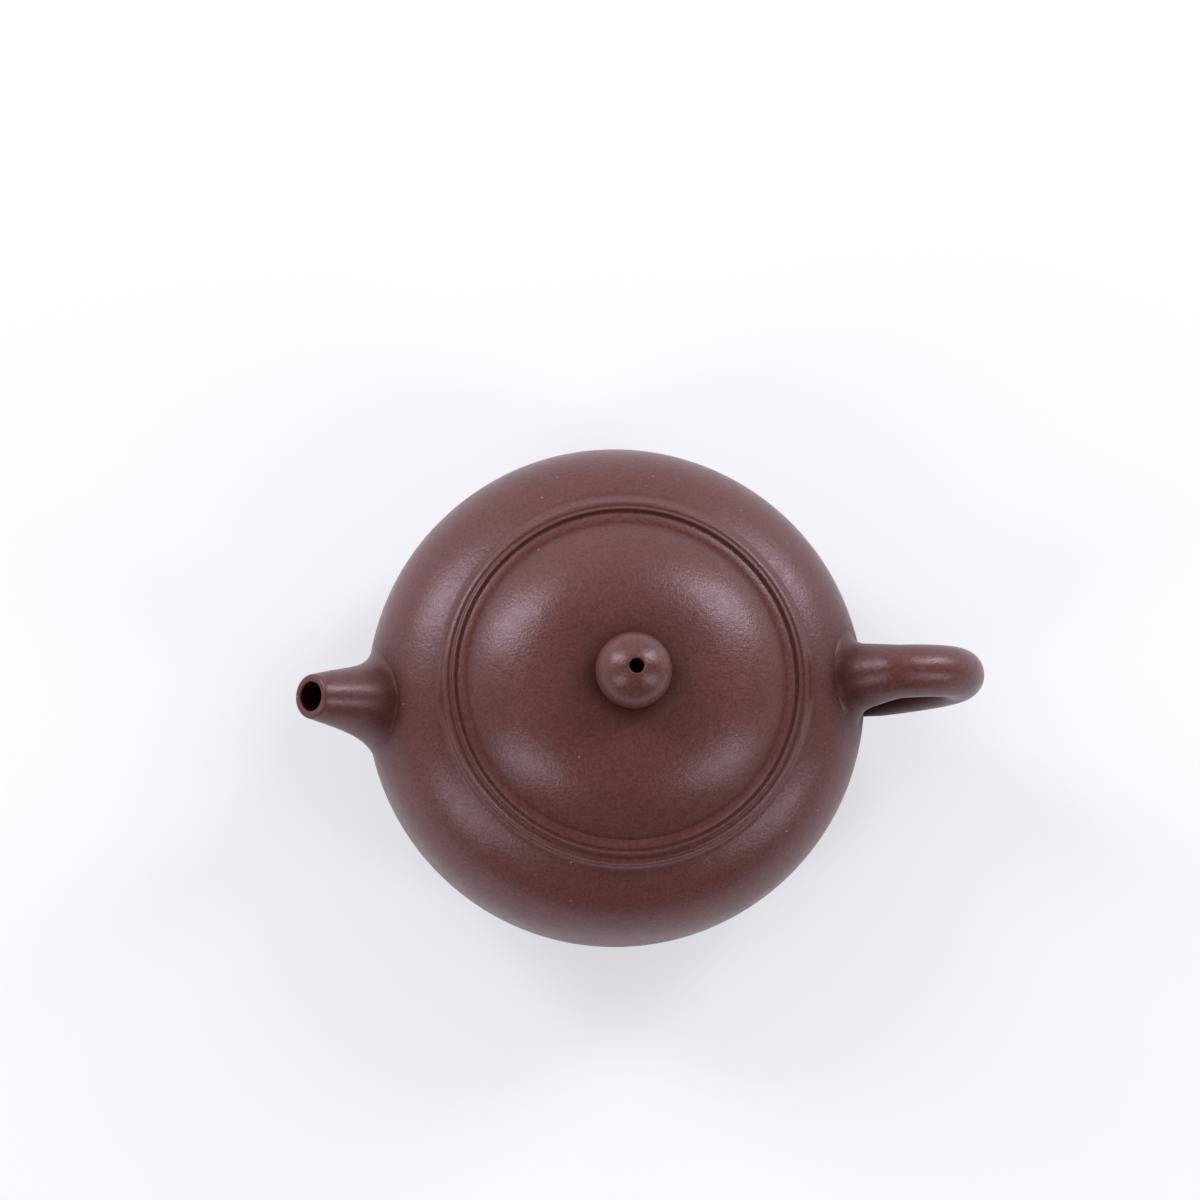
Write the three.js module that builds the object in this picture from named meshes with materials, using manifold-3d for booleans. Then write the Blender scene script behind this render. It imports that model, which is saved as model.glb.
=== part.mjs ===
// A small round Yixing clay teapot with its lid on, in millimetres, +Z up.
// The spout points to -X and the handle to +X. Every form is first made about the pot's own axis,
// and the finished pot is then moved so that the origin lies under the middle of its outline.
import * as THREE from 'three';
import { ParametricGeometry } from 'three/addons/geometries/ParametricGeometry.js';
import { mergeVertices } from 'three/addons/utils/BufferGeometryUtils.js';
import Module from 'manifold-3d';

const wasm = await Module();
wasm.setup();

// Body: a full round form, widest at the equator. Places on its wall are given as angles above the
// equator, in degrees, seen from the middle of the body
const bodyRadius = 43.8;
const equatorHeight = 22;
const shoulderRise = 25.8;
const shoulderFullness = 3;
const bellyDrop = 24;
const bellyFullness = 2.2;
const wallThickness = 2.8;
const floorThickness = 3.6;
const shoulderSeamRise = 18.4;

// Foot ring: set a little in from the edge of the body's underside
const footHeight = 2.4;
const footStep = 0.32;
const footWidth = 3.4;
const footTaper = 0.7;
const footEdgeRound = 0.6;

// Mouth ring, on a narrow shelf round the throat. The lid's sizes follow from its radius
const mouthRingRadius = 31.55;
const mouthRingWidth = 5.05;
const mouthRingHeight = 2.2;
const neckShelf = 0.15;
const throatDepth = 1.6;
const mouthRingUndercut = 0.55;
const mouthEdgeRound = 0.75;

// Lid: its edge sits back from the ring's, and a flat ledge runs round its dome
const lidSetback = 1.7;
const lidLedgeWidth = 2.5;
const lidPlateThickness = 1;
const lidBeadRound = 0.24;
const lidBeadStand = 0.22;
const lidGrooveWidth = 0.55;
const lidGrooveDepth = 0.45;
const lidCoveDepth = 0.3;
const flangeClearance = 0.3;
const flangeThickness = 2.8;
const flangeDepth = 6.5;
const flangeChamfer = 0.5;
const domeRise = 7.1;
const domeFullness = 4;
const domeThickness = 2.3;

// Knob, with the air hole that runs down through the lid
const knobRadius = 6.4;
const knobUpperHalf = 5.9;
const knobLowerHalf = 4.6;
const knobBaseRadius = 4.7;
const knobNeckRadius = 3.9;
const knobNeckHeight = 0.9;
const airHoleRadius = 1.25;

// Spout: rises from the wall and narrows to a round lip a little under the rim
const spoutReach = 10;
const spoutMouthBelowRim = 3;
const spoutMouthTilt = 44;
const spoutSlope = 46;
const spoutRootAngle = 10;
const spoutRootHalfAngle = 17.8;
const spoutRootHalfWidth = 11.4;
const spoutLipRadius = 3.85;
const spoutLipRound = 0.6;
const spoutTaperUpward = 5;
const spoutTaperSideways = 13;
const spoutMouthBore = 2.5;
const spoutRootBore = 4.4;
const boreRootAngle = 14;

// Strainer: a pierced half ball inside the wall, over the spout's hole
const strainerRadius = 8.4;
const strainerThickness = 1.3;
const strainerHoleRadius = 0.9;
const strainerRings = [
  { holes: 1, tilt: 0 },
  { holes: 6, tilt: 27 },
  { holes: 10, tilt: 54 },
];

// Handle: a round coil that rises from the shoulder to its crest, bends down and comes back to the
// belly. A slope is its angle to the level, and a pull says how far the coil keeps a direction.
const handleReach = 20.4;
const handleRootRadius = 6.8;
const handleCrestRadius = 4.5;
const handleBendRadius = 4.45;
const handleLowerRadius = 4.6;
const handleCrestReach = 4.2;
const handleCrestRise = 20.9;
const handleBendRise = 10.5;
const handleUpperRootAngle = 20.7;
const handleUpperRootHalfAngle = 8.7;
const handleUpperRootHalfWidth = 10.4;
const handleLowerRootAngle = -13;
const handleLowerRootHalfAngle = 8;
const handleLowerRootHalfWidth = 6.8;
const handleUpperSlope = 42;
const handleLowerSlope = 32;
const handleUpperPull = 4;
const handleCrestPullIn = 3.2;
const handleCrestPullOut = 6.3;
const handleBendPullUp = 5.8;
const handleBendPullDown = 8.5;
const handleLowerPull = 9;

// How far along its first and last curve the round coil starts and ends: the roots take the rest
const handleCoilStart = 0.55;
const handleCoilEnd = 0.7;

// Luted joints on curved walls: a hair's gap under each root, and a thin edge round it
const luteGap = 0.3;
const rootEdge = 0.4;
const spoutLimbPull = 8;
const spoutWallPull = 5.6;
const handleUpperLimbPull = 3;
const handleUpperWallPull = 5;
const handleLowerLimbPull = 2.4;
const handleLowerWallPull = 3;

// Facets: how many sides a round piece has, and how far each curve turns in one step, in degrees
const turnSegments = 48;
const knobSegments = 32;
const spoutSegments = 36;
const handleSegments = 24;
const boreSegments = 20;
const holeSegments = 8;
const strainerSegments = 20;
const outsideStep = 5.1;
const insideStep = 9;
const domeSteps = 10;
const knobStep = 10;
const edgeStep = 30;
const spoutBlendSteps = 12;
const handleBlendSteps = 7;
const handleCoilSteps = 6;

const degrees = THREE.MathUtils.degToRad;
const point = (radius, height) => new THREE.Vector2(radius, height);

// Levels that follow from the sizes above
const bodyOutside = { radius: bodyRadius, rise: shoulderRise, drop: bellyDrop };
const bodyInside = shrunk(bodyOutside, wallThickness);
const floorHeight = footHeight + floorThickness;
const shoulderSeamHeight = equatorHeight + shoulderSeamRise;
const throatRadius = mouthRingRadius - mouthRingWidth;
const neckHeight = heightAt(bodyOutside, mouthRingRadius + neckShelf);
const rimHeight = neckHeight + mouthRingHeight;
const lidPlateTop = rimHeight + lidPlateThickness;
const lidRadius = mouthRingRadius - lidSetback;
const domeRadius = lidRadius - lidLedgeWidth;
const flangeRadius = throatRadius - flangeClearance;
const flangeInnerRadius = flangeRadius - flangeThickness;
const knobSeatHeight = lidPlateTop + capHeight(knobBaseRadius, domeRadius, domeRise);

// Round forms of the body and the lid: a superellipse in section

function shrunk(form, inset) {
  return { radius: form.radius - inset, rise: form.rise - inset, drop: form.drop - inset };
}

function halfOf(form, upper) {
  return upper
    ? { reach: form.rise, fullness: shoulderFullness }
    : { reach: form.drop, fullness: bellyFullness };
}

function radiusAt(form, height) {
  const { reach, fullness } = halfOf(form, height > equatorHeight);
  const level = Math.abs(height - equatorHeight) / reach;
  return form.radius * (1 - level ** fullness) ** (1 / fullness);
}

function heightAt(form, radius) {
  const { reach, fullness } = halfOf(form, true);
  return equatorHeight + reach * (1 - (radius / form.radius) ** fullness) ** (1 / fullness);
}

function evenSteps(start, end, step) {
  const count = Math.ceil(Math.abs(end - start) / degrees(step));
  return Array.from({ length: count + 1 }, (_, i) => start + ((end - start) * i) / count);
}

function wallCurve(form, fromHeight, toHeight, step) {
  const angleAt = (height) => {
    const { reach, fullness } = halfOf(form, height > equatorHeight);
    const level = (height - equatorHeight) / reach;
    return Math.sign(level) * Math.asin(Math.abs(level) ** (fullness / 2));
  };
  return evenSteps(angleAt(fromHeight), angleAt(toHeight), step).map((angle) => {
    const { reach, fullness } = halfOf(form, angle > 0);
    const level = Math.sign(angle) * Math.abs(Math.sin(angle)) ** (2 / fullness);
    const height = equatorHeight + level * reach;
    return point(radiusAt(form, height), height);
  });
}

function capHeight(radius, spread, rise) {
  return rise * (1 - (radius / spread) ** domeFullness);
}

function capCurve(fromRadius, toRadius, spread, rise) {
  return Array.from({ length: domeSteps + 1 }, (_, i) => {
    const radius = THREE.MathUtils.lerp(fromRadius, toRadius, i / domeSteps);
    return point(radius, lidPlateTop + capHeight(radius, spread, rise));
  });
}

function arc(centreRadius, centreHeight, across, up, fromAngle, toAngle, step = edgeStep) {
  return evenSteps(degrees(fromAngle), degrees(toAngle), step).map(
    (angle) => point(centreRadius + across * Math.cos(angle), centreHeight + up * Math.sin(angle)),
  );
}

// Solids

function turned(profile, segments = turnSegments) {
  return new THREE.LatheGeometry([...profile, profile[0]], segments).rotateX(Math.PI / 2);
}

function solidOf(geometry) {
  geometry.deleteAttribute('normal');
  geometry.deleteAttribute('uv');
  const merged = mergeVertices(geometry);
  const corners = merged.index.array;
  const faces = [];
  for (let i = 0; i < corners.length; i += 3) {
    const [a, b, c] = corners.slice(i, i + 3);
    if (a !== b && b !== c && c !== a) faces.push(a, b, c);
  }
  return new wasm.Manifold(new wasm.Mesh({
    numProp: 3,
    vertProperties: merged.attributes.position.array,
    triVerts: Uint32Array.from(faces),
  }));
}

function geometryOf(solid) {
  const mesh = solid.getMesh();
  const geometry = new THREE.BufferGeometry();
  geometry.setAttribute('position', new THREE.BufferAttribute(mesh.vertProperties, 3));
  geometry.setIndex(new THREE.BufferAttribute(mesh.triVerts, 1));
  geometry.computeVertexNormals();
  return geometry;
}

function placedAlong(geometry, start, direction) {
  const turn = new THREE.Quaternion().setFromUnitVectors(new THREE.Vector3(0, 1, 0), direction);
  return geometry.applyQuaternion(turn).translate(start.x, start.y, start.z);
}

// Pieces that are turned about the pot's axis

function footRing() {
  const outer = radiusAt(bodyOutside, footHeight) - footStep;
  const inner = outer - footWidth;
  const bottomOuter = outer - footTaper;
  return turned([
    point(inner, footHeight),
    ...arc(inner + footEdgeRound, footEdgeRound, footEdgeRound, footEdgeRound, 180, 270),
    ...arc(bottomOuter - footEdgeRound, footEdgeRound, footEdgeRound, footEdgeRound, -90, 0),
    point(outer, footHeight),
  ]);
}

function baseDisc() {
  return turned([
    point(0, footHeight),
    ...wallCurve(bodyOutside, footHeight, floorHeight, outsideStep),
    point(0, floorHeight),
  ]);
}

function bodyWall() {
  return turned([
    ...wallCurve(bodyOutside, floorHeight, shoulderSeamHeight, outsideStep),
    ...wallCurve(bodyInside, shoulderSeamHeight, floorHeight, insideStep),
  ]);
}

function shoulderDisc() {
  const throatFloor = neckHeight - throatDepth;
  return turned([
    ...wallCurve(bodyOutside, shoulderSeamHeight, neckHeight, outsideStep),
    point(throatRadius, neckHeight),
    point(throatRadius, throatFloor),
    ...wallCurve(bodyInside, throatFloor, shoulderSeamHeight, insideStep),
  ]);
}

function mouthRing() {
  const edgeRadius = mouthRingRadius - mouthEdgeRound;
  const edgeHeight = rimHeight - mouthEdgeRound;
  return turned([
    point(throatRadius, neckHeight),
    point(mouthRingRadius - mouthRingUndercut, neckHeight),
    ...arc(edgeRadius, edgeHeight, mouthEdgeRound, mouthEdgeRound, -60, 90),
    point(throatRadius, rimHeight),
  ]);
}

function lidPlate() {
  const beadRadius = lidRadius - lidBeadRound;
  const beadHeight = lidPlateTop + lidBeadStand - lidBeadRound;
  const grooveOuter = beadRadius - lidBeadRound;
  const grooveInner = grooveOuter - lidGrooveWidth;
  const coveRadius = (grooveInner + domeRadius) / 2;
  return turned([
    point(flangeInnerRadius, rimHeight),
    point(beadRadius, rimHeight),
    ...arc(beadRadius, beadHeight, lidBeadRound, lidBeadRound, -60, 180),
    point(grooveOuter - lidGrooveWidth / 2, lidPlateTop - lidGrooveDepth),
    ...arc(coveRadius, lidPlateTop, grooveInner - coveRadius, lidCoveDepth, 0, -180),
    point(flangeInnerRadius, lidPlateTop),
  ]);
}

function lidFlange() {
  const bottom = rimHeight - flangeDepth;
  return turned([
    point(flangeInnerRadius, bottom),
    point(flangeRadius - flangeChamfer, bottom),
    point(flangeRadius, bottom + flangeChamfer),
    point(flangeRadius, rimHeight),
    point(flangeInnerRadius, rimHeight),
  ]);
}

function lidDome() {
  const insideRadius = domeRadius - domeThickness;
  const insideRise = domeRise - domeThickness;
  return turned([
    ...capCurve(domeRadius, knobBaseRadius, domeRadius, domeRise),
    point(airHoleRadius, knobSeatHeight),
    ...capCurve(airHoleRadius, insideRadius, insideRadius, insideRise),
  ]);
}

function knob() {
  const neckTop = knobSeatHeight + knobNeckHeight;
  const neckAngle = THREE.MathUtils.radToDeg(Math.acos(knobNeckRadius / knobRadius));
  const holeAngle = THREE.MathUtils.radToDeg(Math.acos(airHoleRadius / knobRadius));
  const middle = neckTop + knobLowerHalf * Math.sin(degrees(neckAngle));
  return turned([
    point(airHoleRadius, knobSeatHeight),
    ...arc(knobBaseRadius, neckTop, knobBaseRadius - knobNeckRadius, knobNeckHeight, 270, 180),
    ...arc(0, middle, knobRadius, knobLowerHalf, -neckAngle, 0, knobStep).slice(1),
    ...arc(0, middle, knobRadius, knobUpperHalf, 0, holeAngle, knobStep).slice(1),
  ], knobSegments);
}

// Limbs: spout and handle lie in the XZ plane, and their roots spread over the body's wall

function wallPlace(angle) {
  const { reach, fullness } = halfOf(bodyOutside, angle > 0);
  const across = (Math.cos(angle) / bodyRadius) ** fullness;
  const up = (Math.abs(Math.sin(angle)) / reach) ** fullness;
  const distance = (across + up) ** (-1 / fullness);
  return point(distance * Math.cos(angle), equatorHeight + distance * Math.sin(angle));
}

function wallPoint(angle, sideways, lift) {
  const span = 0.001;
  const place = wallPlace(angle);
  const alongWall = wallPlace(angle + span).sub(wallPlace(angle - span)).normalize();
  const radius = place.x + alongWall.y * lift;
  const around = sideways / bodyRadius;
  return new THREE.Vector3(
    radius * Math.cos(around), radius * Math.sin(around), place.y - alongWall.x * lift,
  );
}

function rootPoint(root, turn, scale, lift) {
  const angle = root.angle + root.up * root.halfAngle * scale * Math.cos(turn);
  return wallPoint(degrees(angle), -root.halfWidth * scale * Math.sin(turn), lift);
}

function heading(slope) {
  return new THREE.Vector3(Math.cos(degrees(slope)), 0, Math.sin(degrees(slope)));
}

function limbRing(centre, direction, radius) {
  const across = new THREE.Vector3(-direction.z, 0, direction.x);
  const side = new THREE.Vector3(0, -1, 0);
  return (turn) => centre.clone()
    .addScaledVector(across, radius * Math.cos(turn))
    .addScaledVector(side, radius * Math.sin(turn));
}

function pole(place) {
  return () => place.clone();
}

function rootUnderside(root) {
  const ringShares = [0.4, 0.75, 1];
  return [
    pole(rootPoint(root, 0, 0, luteGap)),
    ...ringShares.map((share) => (turn) => rootPoint(root, turn, share, luteGap)),
  ];
}

function rootBlend(root, ring, leaving, { limbPull, wallPull, steps }) {
  const justInside = 0.98;
  return Array.from({ length: steps }, (_, i) => (turn) => {
    const edge = rootPoint(root, turn, 1, luteGap + rootEdge);
    const inner = rootPoint(root, turn, justInside, luteGap + rootEdge);
    const alongWall = edge.clone().sub(inner).normalize();
    const start = ring(turn);
    return new THREE.CubicBezierCurve3(
      edge,
      edge.clone().addScaledVector(alongWall, -wallPull),
      start.clone().addScaledVector(leaving(turn), -limbPull),
      start,
    ).getPoint(i / steps);
  });
}

function skin(rings, segments) {
  const stacks = rings.length - 1;
  return new ParametricGeometry((u, v, target) => {
    target.copy(rings[Math.round(v * stacks)](u * 2 * Math.PI));
  }, segments, stacks);
}

// Spout: made towards +X and turned round to -X when it is done

function spoutMouth() {
  return {
    centre: new THREE.Vector3(bodyRadius + spoutReach, 0, rimHeight - spoutMouthBelowRim),
    facing: heading(spoutMouthTilt),
  };
}

function spoutOuter() {
  const { centre, facing } = spoutMouth();
  const root = {
    angle: spoutRootAngle,
    halfAngle: spoutRootHalfAngle,
    halfWidth: spoutRootHalfWidth,
    up: 1,
  };
  const blend = { limbPull: spoutLimbPull, wallPull: spoutWallPull, steps: spoutBlendSteps };
  const lip = evenSteps(0, Math.PI / 2, edgeStep).map((angle) => limbRing(
    centre.clone().addScaledVector(facing, -spoutLipRound * (1 - Math.sin(angle))),
    facing,
    spoutLipRadius - spoutLipRound * (1 - Math.cos(angle)),
  ));
  const leaving = (turn) => {
    const upward = heading(spoutSlope - spoutTaperUpward * Math.cos(turn));
    const sideways = Math.sin(turn) * Math.tan(degrees(spoutTaperSideways));
    return upward.add(new THREE.Vector3(0, sideways, 0)).normalize();
  };
  return skin([
    ...rootUnderside(root),
    ...rootBlend(root, lip[0], leaving, blend),
    ...lip,
    pole(centre),
  ], spoutSegments);
}

function boreLine() {
  const { centre } = spoutMouth();
  const entry = wallPoint(degrees(boreRootAngle), 0, 0);
  return { entry, length: centre.distanceTo(entry), direction: centre.clone().sub(entry).normalize() };
}

function wallHole() {
  const { entry, direction } = boreLine();
  const inward = strainerRadius;
  const hole = new THREE.CylinderGeometry(
    spoutRootBore, spoutRootBore, inward + wallThickness, boreSegments,
  ).translate(0, (wallThickness - inward) / 2, 0);
  return placedAlong(hole, entry, direction);
}

function spoutBore() {
  const { entry, length, direction } = boreLine();
  const past = spoutLipRadius;
  const narrowing = (spoutRootBore - spoutMouthBore) / length;
  const bore = new THREE.CylinderGeometry(
    spoutMouthBore - narrowing * past, spoutRootBore, length + past, boreSegments,
  ).translate(0, (length + past) / 2, 0);
  return solidOf(placedAlong(bore, entry, direction)).add(solidOf(wallHole()));
}

function spout() {
  return geometryOf(solidOf(spoutOuter()).subtract(spoutBore())).rotateZ(Math.PI);
}

function piercedBodyWall() {
  return geometryOf(solidOf(bodyWall()).subtract(solidOf(wallHole().rotateZ(Math.PI))));
}

// Strainer

function ballAt(place, radius) {
  return solidOf(
    new THREE.SphereGeometry(radius, strainerSegments, strainerSegments / 2)
      .translate(place.x, place.y, place.z),
  );
}

function insideSpace() {
  const space = shrunk(bodyInside, luteGap);
  return solidOf(turned([
    point(0, floorHeight + luteGap),
    ...wallCurve(space, floorHeight + luteGap, shoulderSeamHeight, outsideStep),
    point(0, shoulderSeamHeight),
  ]));
}

function strainerPin(centre, inward, tilt, spin) {
  const aim = inward.clone()
    .applyAxisAngle(new THREE.Vector3(0, 1, 0), tilt)
    .applyAxisAngle(inward, spin);
  const pin = new THREE.CylinderGeometry(
    strainerHoleRadius, strainerHoleRadius, 3 * strainerThickness, holeSegments,
  );
  const place = centre.clone().addScaledVector(aim, strainerRadius - strainerThickness / 2);
  return solidOf(placedAlong(pin, place, aim));
}

function strainer() {
  const { entry, direction } = boreLine();
  const inward = direction.clone().negate();
  const centre = entry.clone().addScaledVector(inward, wallThickness);
  let shell = ballAt(centre, strainerRadius)
    .subtract(ballAt(centre, strainerRadius - strainerThickness))
    .intersect(insideSpace());
  for (const { holes, tilt } of strainerRings) {
    for (let i = 0; i < holes; i += 1) {
      shell = shell.subtract(strainerPin(centre, inward, degrees(tilt), (2 * Math.PI * i) / holes));
    }
  }
  return geometryOf(shell).rotateZ(Math.PI);
}

// Handle

function handleCurves() {
  const spot = (x, z) => new THREE.Vector3(x, 0, z);
  const upper = wallPoint(degrees(handleUpperRootAngle), 0, 0);
  const crest = spot(bodyRadius + handleCrestReach, equatorHeight + handleCrestRise);
  const bend = spot(bodyRadius + handleReach - handleBendRadius, equatorHeight + handleBendRise);
  const lower = wallPoint(degrees(handleLowerRootAngle), 0, 0);
  const bezier = (start, startPull, endPull, end) => new THREE.CubicBezierCurve3(
    start, start.clone().add(startPull), end.clone().add(endPull), end,
  );
  return [
    {
      curve: bezier(
        upper,
        heading(handleUpperSlope).multiplyScalar(handleUpperPull),
        spot(-handleCrestPullIn, 0),
        crest,
      ),
      shares: [handleCoilStart, 1],
      radii: [handleRootRadius, handleCrestRadius],
    },
    {
      curve: bezier(crest, spot(handleCrestPullOut, 0), spot(0, handleBendPullUp), bend),
      shares: [0, 1],
      radii: [handleCrestRadius, handleBendRadius],
    },
    {
      curve: bezier(
        bend,
        spot(0, -handleBendPullDown),
        heading(handleLowerSlope).multiplyScalar(handleLowerPull),
        lower,
      ),
      shares: [0, handleCoilEnd],
      radii: [handleBendRadius, handleLowerRadius],
    },
  ];
}

function coilRings({ curve, shares, radii }) {
  return Array.from({ length: handleCoilSteps + 1 }, (_, i) => {
    const share = THREE.MathUtils.lerp(shares[0], shares[1], i / handleCoilSteps);
    const radius = THREE.MathUtils.lerp(radii[1], radii[0], (1 - share) ** 2);
    const direction = curve.getTangent(share);
    return { direction, ring: limbRing(curve.getPoint(share), direction, radius) };
  });
}

function handle() {
  const upperRoot = {
    angle: handleUpperRootAngle,
    halfAngle: handleUpperRootHalfAngle,
    halfWidth: handleUpperRootHalfWidth,
    up: 1,
  };
  const lowerRoot = {
    angle: handleLowerRootAngle,
    halfAngle: handleLowerRootHalfAngle,
    halfWidth: handleLowerRootHalfWidth,
    up: -1,
  };
  const upperBlend = {
    limbPull: handleUpperLimbPull, wallPull: handleUpperWallPull, steps: handleBlendSteps,
  };
  const lowerBlend = {
    limbPull: handleLowerLimbPull, wallPull: handleLowerWallPull, steps: handleBlendSteps,
  };
  const [rising, falling, returning] = handleCurves().map(coilRings);
  const coil = [...rising, ...falling.slice(1), ...returning.slice(1)];
  const first = coil[0];
  const last = coil[coil.length - 1];
  return skin([
    ...rootUnderside(upperRoot),
    ...rootBlend(upperRoot, first.ring, () => first.direction, upperBlend),
    ...coil.map(({ ring }) => ring),
    ...rootBlend(lowerRoot, last.ring, () => last.direction.clone().negate(), lowerBlend).reverse(),
    ...rootUnderside(lowerRoot).reverse(),
  ], handleSegments);
}

// Clay: fired bare, purple brown
const clay = { roughness: 0.62, metalness: 0 };

function piece(name, geometry, colour) {
  const mesh = new THREE.Mesh(geometry, new THREE.MeshStandardMaterial({ ...clay, color: colour }));
  mesh.name = name;
  return mesh;
}

const pot = new THREE.Group();
pot.add(
  piece('foot_ring', footRing(), 0x54352f),
  piece('base_disc', baseDisc(), 0x56372f),
  piece('body_wall', piercedBodyWall(), 0x5c3c38),
  piece('shoulder_disc', shoulderDisc(), 0x5c3c38),
  piece('mouth_ring', mouthRing(), 0x5e3d38),
  piece('spout', spout(), 0x5d3c37),
  piece('strainer', strainer(), 0x4e322c),
  piece('handle', handle(), 0x5d3c37),
  piece('lid_plate', lidPlate(), 0x5e3d38),
  piece('lid_flange', lidFlange(), 0x5a3a34),
  piece('lid_dome', lidDome(), 0x5b3b36),
  piece('knob', knob(), 0x60403b),
);

const outline = new THREE.Box3().setFromObject(pot);
pot.position.set(-(outline.min.x + outline.max.x) / 2, 0, -outline.min.z);

const group = new THREE.Group();
group.add(pot);

export default group;
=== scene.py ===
import math

import bmesh
import bpy
from mathutils import Matrix, Quaternion, Vector, noise
from mathutils.geometry import interpolate_bezier


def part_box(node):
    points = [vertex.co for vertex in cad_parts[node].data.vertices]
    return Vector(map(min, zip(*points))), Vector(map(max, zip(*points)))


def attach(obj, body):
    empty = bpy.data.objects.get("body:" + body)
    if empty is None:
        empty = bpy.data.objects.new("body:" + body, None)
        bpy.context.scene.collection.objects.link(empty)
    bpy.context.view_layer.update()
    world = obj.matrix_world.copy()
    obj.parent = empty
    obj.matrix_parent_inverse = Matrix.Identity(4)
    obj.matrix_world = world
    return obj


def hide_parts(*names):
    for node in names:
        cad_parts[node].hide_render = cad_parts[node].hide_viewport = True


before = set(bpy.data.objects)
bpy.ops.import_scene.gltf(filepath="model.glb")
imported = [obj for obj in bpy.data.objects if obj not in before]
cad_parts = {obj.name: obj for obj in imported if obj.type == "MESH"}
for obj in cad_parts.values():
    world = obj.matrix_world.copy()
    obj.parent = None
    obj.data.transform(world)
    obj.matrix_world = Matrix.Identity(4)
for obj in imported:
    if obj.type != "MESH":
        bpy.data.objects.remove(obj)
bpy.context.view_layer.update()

# A small round teapot of bare purple-brown clay, finished, lit and framed.
# Sizes are in millimetres, measured from the pot's own axis and from the table, as in the frame
MM = 0.001

# Body: a flattened drum, widest at the equator. Places on its wall are given as angles above the
# equator, in degrees, seen from the middle of the body
BODY_RADIUS = 43.8
EQUATOR_HEIGHT = 22.0
SHOULDER_RISE = 25.8
SHOULDER_FULLNESS = 3.0
BELLY_DROP = 24.0
BELLY_FULLNESS = 2.2
WALL_THICKNESS = 2.8
FLOOR_THICKNESS = 3.6
FLOOR_FLAT_RADIUS = 19.0
FLOOR_CORNER_RISE = 5.0
FLOOR_CORNER_PULL = 2.5
BASE_HOLLOW = 0.5
SHOULDER_SEAM_RISE = 18.4

# Foot ring
FOOT_HEIGHT = 2.4
FOOT_STEP = 0.32
FOOT_WIDTH = 3.4
FOOT_TAPER = 0.7
FOOT_EDGE_ROUND = 0.6

# Mouth ring, on a narrow shelf round the throat
MOUTH_RING_RADIUS = 31.55
MOUTH_RING_WIDTH = 5.05
MOUTH_RING_HEIGHT = 2.2
MOUTH_RING_SPREAD = 2.2
MOUTH_EDGE_ROUND = 1.05
MOUTH_INNER_ROUND = 0.24
NECK_SHELF = 0.15
THROAT_DEPTH = 1.6
THROAT_EDGE_ROUND = 0.5

# Lid
LID_SETBACK = 1.7
LID_LEDGE_WIDTH = 2.5
LID_PLATE_THICKNESS = 1.0
LID_BEAD_ROUND = 0.24
LID_BEAD_STAND = 0.18
LID_GROOVE_WIDTH = 0.5
LID_GROOVE_DEPTH = 0.5
LID_GROOVE_ROUND = 0.12
LID_LEDGE_DROP = 0.3
LID_FOOT_SPREAD = 0.45
FLANGE_CLEARANCE = 0.3
FLANGE_THICKNESS = 2.8
FLANGE_DEPTH = 6.5
FLANGE_EDGE_ROUND = 0.7
DOME_RISE = 7.1
DOME_FULLNESS = 4.0
DOME_THICKNESS = 2.3

# Knob, with the air hole that runs down through the lid
KNOB_RADIUS = 6.4
KNOB_UPPER_HALF = 5.9
KNOB_LOWER_HALF = 4.6
KNOB_BASE_RADIUS = 4.7
KNOB_NECK_RADIUS = 3.9
KNOB_NECK_HEIGHT = 0.9
AIR_HOLE_RADIUS = 1.25
AIR_HOLE_EDGE = 0.2

# Spout
SPOUT_REACH = 10.0
SPOUT_MOUTH_BELOW_RIM = 3.0
SPOUT_MOUTH_TILT = 44.0
SPOUT_SLOPE = 35.0
SPOUT_ROOT_ANGLE = 8.2
SPOUT_ROOT_HALF_ANGLE = 16.2
SPOUT_ROOT_HALF_WIDTH = 11.0
SPOUT_LIP_RADIUS = 3.85
SPOUT_LIP_ROUND = 0.6
SPOUT_TAPER_UPWARD = 16.0
SPOUT_TAPER_SIDEWAYS = 13.0
SPOUT_MOUTH_BORE = 2.5
SPOUT_ROOT_BORE = 4.4
BORE_ROOT_ANGLE = 14.0
BORE_LIP_ROUND = 0.3

# Strainer: a pierced half ball inside the wall. Each of its rings has so many holes and leans
# so many degrees from its middle
STRAINER_RADIUS = 8.4
STRAINER_THICKNESS = 1.3
STRAINER_HOLE_RADIUS = 0.9
STRAINER_RINGS = ((1, 0), (6, 27), (10, 54))

# Handle: a round coil from the shoulder, round a bend and back to the belly
HANDLE_REACH = 20.4
HANDLE_ROOT_RADIUS = 5.9
HANDLE_CREST_RADIUS = 4.6
HANDLE_BEND_RADIUS = 4.45
HANDLE_LOWER_RADIUS = 4.6
HANDLE_CREST_REACH = 4.4
HANDLE_CREST_RISE = 20.55
HANDLE_BEND_RISE = 10.5
HANDLE_UPPER_ROOT_ANGLE = 20.2
HANDLE_UPPER_ROOT_HALF_ANGLE = 8.1
HANDLE_UPPER_ROOT_HALF_WIDTH = 10.4
HANDLE_LOWER_ROOT_ANGLE = -13.0
HANDLE_LOWER_ROOT_HALF_ANGLE = 8.0
HANDLE_LOWER_ROOT_HALF_WIDTH = 6.8
HANDLE_UPPER_SLOPE = 50.0
HANDLE_LOWER_SLOPE = 32.0
HANDLE_UPPER_PULL = 7.1
HANDLE_CREST_PULL_IN = 1.2
HANDLE_CREST_PULL_OUT = 6.3
HANDLE_BEND_PULL_UP = 5.8
HANDLE_BEND_PULL_DOWN = 8.5
HANDLE_LOWER_PULL = 9.0
HANDLE_COIL_START = 0.27
HANDLE_COIL_END = 0.7

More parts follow.
